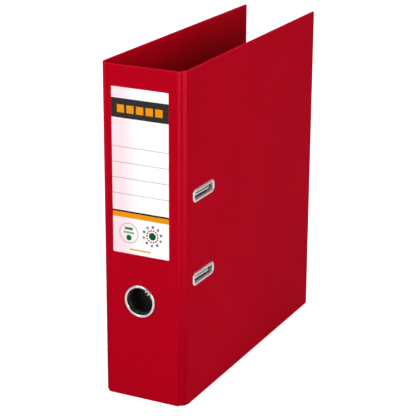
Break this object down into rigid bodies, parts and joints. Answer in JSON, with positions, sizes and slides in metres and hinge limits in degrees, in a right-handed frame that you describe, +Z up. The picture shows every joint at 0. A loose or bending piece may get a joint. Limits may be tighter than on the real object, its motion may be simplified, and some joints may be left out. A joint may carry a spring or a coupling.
{
  "type": "lever arch file",
  "caption": "Upright board case for A4 sheets: spine with finger ring and label, two folding covers, slots in the front cover and a lever-arch mechanism inside.",
  "frame": {"origin": "middle of the spine's bottom edge, on the spine's outer face", "axes": "+Z up along the spine, +Y from the spine to the open edge, +X from the back cover to the front cover"},
  "size_m": [0.0875, 0.2859, 0.318],
  "materials": {
    "cover_red": "matte",
    "lining_red": "matte",
    "grey_board": "matte",
    "label_paper": "satin",
    "nickel": "polished",
    "zinc_steel": "satin",
    "black_plastic": "satin",
    "white_plastic": "satin"
  },
  "bodies": {
    "spine": {"spine_board": "grey_board", "spine_covering": "cover_red", "spine_lining": "lining_red", "spine_label": "label_paper", "finger_ring": "nickel", "finger_ring_back": "nickel", "finger_cup": "black_plastic"},
    "front_hinge_strip": {"front_hinge_board": "grey_board", "front_hinge_covering": "cover_red", "front_hinge_lining": "lining_red"},
    "front_cover": {"front_board": "grey_board", "front_covering": "cover_red", "front_lining": "lining_red", "slot_frames": "nickel", "slot_frame_backs": "nickel"},
    "back_hinge_strip": {"back_hinge_board": "grey_board", "back_hinge_covering": "cover_red", "back_hinge_lining": "lining_red"},
    "back_cover": {"back_board": "grey_board", "back_covering": "cover_red", "back_lining": "lining_red", "base_plate": "zinc_steel", "plate_rivets": "nickel", "rivet_washers": "nickel", "arch_posts": "nickel", "arch_spring": "zinc_steel", "lever_bracket": "zinc_steel", "lever_pivot_pin": "nickel"},
    "arches": {"arch_wire": "nickel"},
    "lever": {"lever_arm": "zinc_steel", "lever_grip": "black_plastic", "roller_pin": "nickel"},
    "lever_roller": {"roller": "white_plastic"},
    "compressor": {"compressor_bar": "zinc_steel", "compressor_clips": "nickel"}
  },
  "joints": [
    {"name": "front_cover_fold", "type": "hinge", "parent": "front_hinge_strip", "child": "front_cover", "pos_m": [0.04251, 0.00728, 0], "axis": [0, 0, -1], "range_deg": [0, 75]},
    {"name": "front_spine_fold", "type": "hinge", "parent": "spine", "child": "front_hinge_strip", "pos_m": [0.0364, 0, 0], "axis": [0, 0, -1], "range_deg": [0, 75]},
    {"name": "back_cover_fold", "type": "hinge", "parent": "back_hinge_strip", "child": "back_cover", "pos_m": [-0.04251, 0.00728, 0], "axis": [0, 0, 1], "range_deg": [0, 45]},
    {"name": "back_spine_fold", "type": "hinge", "parent": "spine", "child": "back_hinge_strip", "pos_m": [-0.0364, 0, 0], "axis": [0, 0, 1], "range_deg": [0, 45]},
    {"name": "arch_swing", "type": "hinge", "parent": "back_cover", "child": "arches", "pos_m": [-0.03578, 0.01375, 0.159], "axis": [0, 0, -1], "range_deg": [0, 38]},
    {"name": "lever_lift", "type": "hinge", "parent": "back_cover", "child": "lever", "pos_m": [-0.02757, 0.03377, 0.216], "axis": [-0.0349, -0.9994, 0], "range_deg": [0, 65]},
    {"name": "roller_spin", "type": "hinge", "parent": "lever", "child": "lever_roller", "pos_m": [-0.02872, 0.03381, 0.177], "axis": [0.0349, 0.9994, 0], "continuous": true},
    {"name": "compressor_slide", "type": "slide", "parent": "back_cover", "child": "compressor", "axis": [0.9994, -0.0349, 0], "range_m": [0, 0.034]}
  ],
  "couplings": [
    {"joint": "front_spine_fold", "follows": "front_cover_fold", "ratio": 1},
    {"joint": "back_spine_fold", "follows": "back_cover_fold", "ratio": 1},
    {"joint": "arch_swing", "follows": "back_cover_fold", "ratio": 0.844},
    {"joint": "lever_lift", "follows": "back_cover_fold", "ratio": 1.444}
  ]
}
